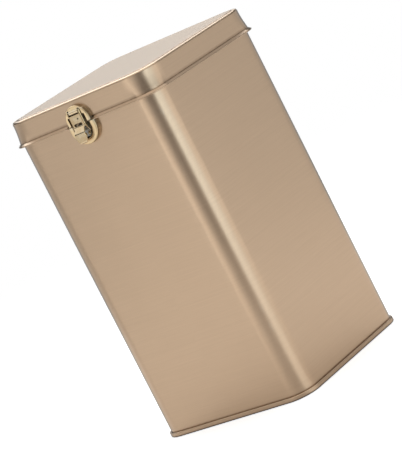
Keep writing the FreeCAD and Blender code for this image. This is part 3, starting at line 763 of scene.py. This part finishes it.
def plated(name, colours, rough, grain=0.0, weaker_shade_minus_x=False, front=None):
    """Polished metal with orange peel, hairlines, painted shade in hollows and recesses, and worn
    edges.

    front is the Y of a plate's front face, whose sides get painted shade and a painted reflection
    of the tin; None for other parts."""
    main, second, worn = colours
    material = bpy.data.materials.new(name)
    net = Net(material)
    place = net.node("TexCoord").outputs["Object"]
    point = net.node("NewGeometry").outputs["Pointiness"]
    big = net.noise(place, scale=180.0, detail=3.0, rough=0.6)
    fine = net.noise(place, scale=1600.0, detail=2.0, rough=0.55)
    stretched = net.vector("MULTIPLY", place, (900.0, 900.0, 9000.0))
    hair = net.noise(stretched, scale=1.0)
    colour = net.mix(net.remap(big, span=(0.35, 0.65)), main, second)
    # painted shade in hollows
    low = net.ease(point, span=(0.42, 0.495), to=(0.55, 0.0))
    colour = net.mix(low, colour, tuple(c * f for c, f in zip(main, HOLLOW_SHADE_TINT)))
    occlusion = net.node("AmbientOcclusion", samples=12)
    occlusion.inputs["Distance"].default_value = 0.0045
    exposed = occlusion.outputs["AO"]
    # painted shade, near black, in deep recesses found by ambient occlusion
    deep = net.ease(exposed, span=(0.32, 0.76), to=(0.97, 0.0))
    x, y, z = net.separate(place)
    if weaker_shade_minus_x:
        # the painted recess shade is weaker at the -X rim than at the +X rim
        deep = net.mul(deep, net.ease(x, span=(-0.0058, -0.0026), to=(0.30, 1.0)))
    if front is not None:
        # painted shade where ambient occlusion finds partly hidden places
        painted_shade = net.ease(exposed, span=(0.60, 0.92), to=(0.80, 0.0))
        colour = net.mix(painted_shade, colour, RECESS_PAINTED_SHADE)
    # the painted shade is browner above 205 mm
    deep_shade_colour = net.mix(net.ease(z, span=(0.2050, 0.2075)), DEEP_SHADE_LOW, DEEP_SHADE_HIGH)
    colour = net.mix(deep, colour, deep_shade_colour)
    if front is not None:
        # painted shade on the plates' sides next to the front face, and a tan painted reflection of
        # the tin further back; the face is polished
        normal_y = net.separate(net.node("TexCoord").outputs["Normal"])[1]
        away = net.ease(net.math("ABSOLUTE", normal_y), span=(0.15, 0.72), to=(0.90, 0.0))
        away = net.mul(away, net.remap(big, span=(0.3, 0.7), to=(0.8, 1.0)))
        behind = net.ease(net.math("SUBTRACT", y, front), span=(0.0007, 0.0017))
        colour = net.mix(away, colour, net.mix(behind, SIDE_PAINTED_SHADE, SIDE_PAINTED_REFLECTION))
    high = net.mul(net.ease(point, span=(0.53, 0.62)),
                   net.remap(big, span=(0.4, 0.6), to=(0.2, 0.8)))
    roughness = net.remap(big, span=(0.3, 0.7), to=(rough - 0.03, rough + 0.05))
    roughness = net.add(roughness, net.mul(fine, 0.04))
    bevel = net.node("Bevel", samples=6)
    bevel.inputs["Radius"].default_value = 0.00014
    relief = net.add(net.mul(fine, 0.7), net.mul(hair, grain))
    normal = bevel.outputs[0]
    if front is not None:
        # plate faces lean a little towards +X
        normal = net.vector("NORMALIZE", net.vector("ADD", normal, (0.125, 0.0, 0.0)))
    net.principled(
        Base_Color=net.mix(high, colour, worn),
        Metallic=1.0,
        Roughness=net.mix_value(deep, roughness, 0.62),
        Normal=net.bump(relief, distance=0.00001, strength=0.6, normal=normal))
    return material


def finish_hardware():
    for name, colours, rough, parts, settings in HARDWARE:
        settings = dict(settings)
        if settings.pop("shade_sides", False):
            vertices = frame["nodes"][parts[0]].data.vertices
            settings["front"] = min(v.co.y for v in vertices)
        material = plated(name, colours, rough, **settings)
        for part in parts:
            mesh = frame["nodes"][part].data
            mesh.materials.clear()
            mesh.materials.append(material)
            shade_smooth(mesh, sharp_angle=32)


# ------------------------------------------------------------------ floor
FLOOR_R, FLOOR_Z = 1.6, -0.00003   # metres
FLOOR_SPOKES, FLOOR_RINGS = 96, 24
# the painted contact shadow in the mirrored floor
FOOT_OUT = 1.4                     # dark contact line starts this far out from the wall, mm


def floor_mesh():
    spokes = FLOOR_SPOKES
    verts, faces = [(0.0, 0.0, FLOOR_Z)], []
    for ring in range(1, FLOOR_RINGS + 1):
        radius = FLOOR_R * (ring / FLOOR_RINGS) ** 1.6
        for k in range(spokes):
            angle = 2 * math.pi * k / spokes
            verts.append((radius * math.cos(angle), radius * math.sin(angle), FLOOR_Z))
    for k in range(spokes):
        faces.append((0, 1 + k, 1 + (k + 1) % spokes))
    for ring in range(FLOOR_RINGS - 1):
        for k in range(spokes):
            a, b = 1 + ring * spokes + k, 1 + ring * spokes + (k + 1) % spokes
            faces.append((a, a + spokes, b + spokes, b))
    mesh = bpy.data.meshes.new("floor")
    mesh.from_pydata(verts, [], faces)
    return mesh


def floor_material():
    """Pale floor that fades out, with a darker painted copy for what the tin mirrors."""
    material = bpy.data.materials.new("floor_pale")
    net = Net(material)
    place = net.node("TexCoord").outputs["Object"]
    distance = net.vector("LENGTH", place)
    clear = net.node("BsdfTransparent").outputs[0]

    def lit(colour, glow):
        """Diffuse colour plus a white glow."""
        diffuse, emission = net.node("BsdfDiffuse"), net.node("Emission")
        net.put(diffuse.inputs["Color"], colour)
        net.put(emission.inputs["Strength"], glow)
        return net.fill(net.node("AddShader"), (diffuse.outputs[0], emission.outputs[0]))

    mottle = net.remap(net.noise(place, scale=60.0, detail=3.0), span=(0.3, 0.7))
    pale = lit(net.mix(mottle, (0.86, 0.86, 0.86), (0.89, 0.89, 0.885)), glow=0.60)
    seen = net.mix_shaders(net.ease(distance, span=(0.25, 0.95)), pale, clear)

    # the mirrored floor has a painted contact shadow round the tin's foot
    past = net.vector("SUBTRACT", net.vector("ABSOLUTE", place), (CENTRE * MM, CENTRE * MM, 0.0))
    past = net.vector("MAXIMUM", past, (0.0, 0.0, 0.0))
    gap = net.math("SUBTRACT", net.vector("LENGTH", past), (CORNER_R + FOOT_OUT) * MM)
    near = net.add(net.ease(gap, span=(0.0, 0.0025), to=(0.04, 0.88)),
                   net.ease(gap, span=(0.06, 0.20), to=(0.0, 0.12)))
    # painted lit band running out from the +X -Y corner, by angle from -Y towards +X
    corner = net.vector("SUBTRACT", place, (CENTRE * MM, -CENTRE * MM, 0.0))
    x, y, _ = net.separate(corner)
    turn = net.math("ARCTAN2", x, net.mul(y, -1.0))
    rise = (math.radians(54), math.radians(68))
    drop = (math.radians(88), math.radians(104))
    band = net.mul(net.ease(turn, span=rise), net.ease(turn, span=drop, to=(1.0, 0.0)))
    band = net.mul(band, net.ease(distance, span=(0.20, 0.40), to=(1.0, 0.0)))
    glow = net.mul(near, net.add(0.075, net.mul(band, 0.27)))
    close = lit(net.mix(near, (0.0, 0.0, 0.0), (0.83, 0.79, 0.755)), glow)
    mirrored = net.mix_shaders(net.ease(distance, span=(0.35, 0.60)), close, clear)

    camera_ray = net.node("LightPath").outputs["Is Camera Ray"]
    net.put(net.out.inputs[0], net.mix_shaders(camera_ray, mirrored, seen))
    return material


def make_floor():
    floor = add_object("floor", floor_mesh())
    floor.data.materials.append(floor_material())


# ------------------------------------------------------------------ studio light
COOL, GREY = (0.87, 1.01, 1.10), (0.97, 1.0, 1.06)
WARM, REAR = (1.0, 1.0, 1.0), (0.89, 0.97, 1.05)
# surroundings near the horizon: degrees from -Y towards +X, linear brightness, tint
HORIZON = [
    (-180, 0.40, WARM), (-166, 0.42, WARM), (-154, 0.51, REAR), (-126, 0.51, REAR),
    (-112, 0.50, WARM), (-90, 0.50, WARM), (-65, 0.43, WARM), (-52, 0.43, WARM),
    (-44, 0.50, WARM), (-40, 0.61, WARM), (-36, 0.96, WARM), (-28, 1.02, WARM),
    (-20, 0.96, WARM), (-10, 0.82, WARM), (0, 0.60, WARM), (10, 0.38, GREY),
    (20, 0.235, GREY), (32, 0.165, GREY), (42, 0.17, GREY), (49, 0.29, GREY),
    (55, 0.66, COOL), (60, 1.15, COOL), (66, 1.42, COOL), (78, 1.31, COOL),
    (92, 1.10, COOL), (110, 0.93, WARM), (126, 0.84, WARM), (135, 0.75, WARM),
    (139, 0.59, WARM), (144, 0.49, WARM), (156, 0.44, WARM),
]
SOFTBOX, CEILING = 2.2, 0.80       # brightness behind the tin and overhead
LIGHT_TINT = (1.0, 0.985, 0.965)


def make_world():
    world = bpy.data.worlds.new("studio")
    scene.world = world
    net = Net(world, output="OutputWorld")
    direction = net.node("TexCoord").outputs["Generated"]
    x, y, z = net.separate(direction)

    def patch(azimuth, elevation, inner, outer):
        """1 within a soft disc of the surroundings, 0 outside; all in degrees."""
        turn, lift = math.radians(azimuth), math.radians(elevation)
        centre = (math.cos(lift) * math.sin(turn), -math.cos(lift) * math.cos(turn),
                  math.sin(lift))
        return net.ease(net.vector("DOT_PRODUCT", direction, centre),
                        span=(math.cos(math.radians(outer)), math.cos(math.radians(inner))))

    def by_elevation(low, high, to):
        return net.ease(z, span=(math.sin(math.radians(low)), math.sin(math.radians(high))), to=to)

    def background(colour):
        node = net.node("Background")
        net.fill(node, (colour, 1.0))
        return node.outputs[0]

    turn = net.math("ARCTAN2", x, net.mul(y, -1.0))
    ramp = net.node("ValToRGB")
    net.put(ramp.inputs[0], net.add(net.math("DIVIDE", turn, 2 * math.pi), 0.5))
    stops = ramp.color_ramp.elements
    stops.remove(stops[-1])
    for i, (azimuth, brightness, tint) in enumerate(HORIZON):
        position = azimuth / 360.0 + 0.5
        stop = stops.new(position) if i else stops[0]
        stop.position = position
        stop.color = tuple(brightness * c for c in tint) + (1.0,)

    fall = by_elevation(8, 14, to=(1.0, 0.12))
    dark = net.mul(patch(azimuth=-141, elevation=-14, inner=7, outer=16), 0.75)
    fall = net.mul(fall, net.math("SUBTRACT", 1.0, dark))
    ceiling = net.mul(by_elevation(30, 40, to=(0.0, 1.0)), CEILING)
    softbox = net.mul(patch(azimuth=-138, elevation=46, inner=20, outer=27), SOFTBOX)
    above = net.combine(*(net.add(ceiling, net.mul(softbox, c)) for c in REAR))
    around = net.node("VectorMath", operation="SCALE")
    net.put(around.inputs[0], ramp.outputs[0])
    net.put(around.inputs[3], fall)
    whole = net.vector("ADD", around.outputs[0], above)
    studio = background(net.vector("MULTIPLY", whole, LIGHT_TINT))
    camera_ray = net.node("LightPath").outputs["Is Camera Ray"]
    white = background((1, 1, 1, 1))
    net.put(net.out.inputs[0], net.mix_shaders(camera_ray, studio, white))


# ------------------------------------------------------------------ camera
CAMERA_PLACE = (1.0849, -1.3139, 0.3579)
# degrees: view direction, a small roll, then the turn of the frame the other way
YAW, PITCH, ROLL, FRAME_TURN = (math.radians(v) for v in (129.627, -8.356, 0.386, 27.35))


def make_camera():
    view = Vector((math.cos(PITCH) * math.cos(YAW), math.cos(PITCH) * math.sin(YAW),
                   math.sin(PITCH)))
    right = view.cross(Vector((0, 0, 1))).normalized()
    up = right.cross(view)
    for angle in (ROLL, -FRAME_TURN):
        right, up = (math.cos(angle) * right + math.sin(angle) * up,
                     -math.sin(angle) * right + math.cos(angle) * up)
    data = bpy.data.cameras.new("camera")
    camera = add_object("camera", data)
    rows = zip(right, up, -view, CAMERA_PLACE)
    camera.matrix_world = Matrix((*rows, (0, 0, 0, 1)))
    data.sensor_width = 36.0
    data.lens = 226.536
    data.clip_start = 0.01
    data.clip_end = 20.0
    scene.camera = camera


wall = make_wall()
bottom_end = make_bottom_end()
lid = make_lid()

tin = brushed_tin("tin_champagne_brushed", base=(0.79, 0.575, 0.385), dark=(0.745, 0.535, 0.355),
                  light=(0.83, 0.61, 0.415), rough=0.33, aniso=0.72)
tin_base = brushed_tin("tin_champagne_base", base=(0.77, 0.56, 0.375), dark=(0.72, 0.515, 0.345),
                       light=(0.81, 0.595, 0.405), rough=0.34, aniso=0.6)
for sheet_object, sheet_material in ((wall, tin), (lid, tin), (bottom_end, tin_base)):
    sheet_object.data.materials.append(sheet_material)

finish_hardware()
make_floor()
make_world()
make_camera()
scene.view_settings.view_transform = "Standard"
scene.view_settings.look = "None"
